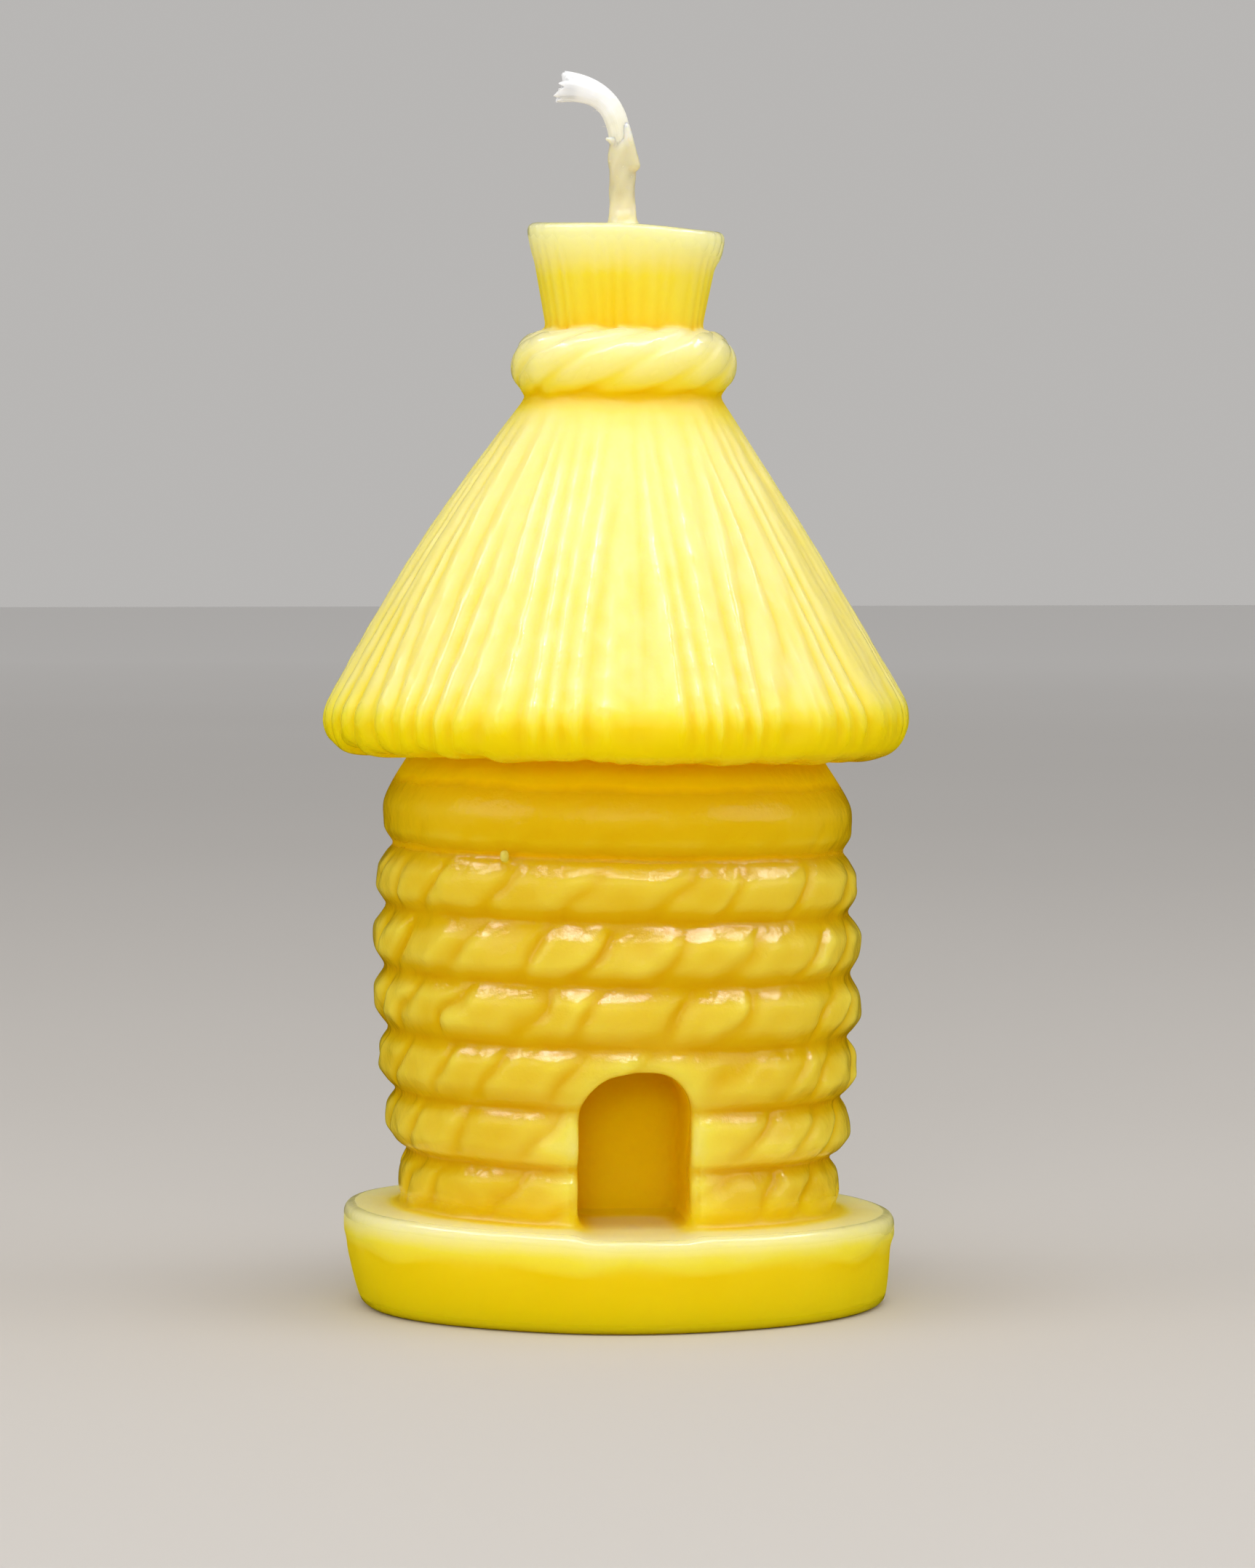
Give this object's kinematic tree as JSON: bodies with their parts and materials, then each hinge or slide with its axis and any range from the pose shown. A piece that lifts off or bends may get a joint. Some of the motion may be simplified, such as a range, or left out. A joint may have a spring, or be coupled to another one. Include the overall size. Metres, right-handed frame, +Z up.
{
  "type": "hive-shaped candle",
  "caption": "Solid beeswax candle cast as a straw hive hut: round plinth, rope-coiled wall with an arched doorway niche, thatched roof, tied topknot and a bent cotton wick.",
  "frame": {"origin": "centre of the plinth's flat underside, on the wick's axis", "axes": "+Z up along the wick, -Y out of the doorway, -X the way the wick's tip bends"},
  "size_m": [0.0546, 0.0546, 0.1145],
  "materials": {
    "beeswax": "cast yellow beeswax, softly glossy and translucent",
    "cotton_wick": "braided cotton, frayed at the tip",
    "wick_wax": "thin pale wax on cotton"
  },
  "bodies": {
    "root": {"plinth": "beeswax", "wall_core": "beeswax", "rope_course_1": "beeswax", "rope_course_2": "beeswax", "rope_course_3": "beeswax", "rope_course_4": "beeswax", "rope_course_5": "beeswax", "rope_course_6": "beeswax", "rope_course_7": "beeswax", "thatch_roof": "beeswax", "rope_tie": "beeswax", "topknot": "beeswax", "wick": "cotton_wick", "wick_wax": "wick_wax"}
  },
  "joints": []
}
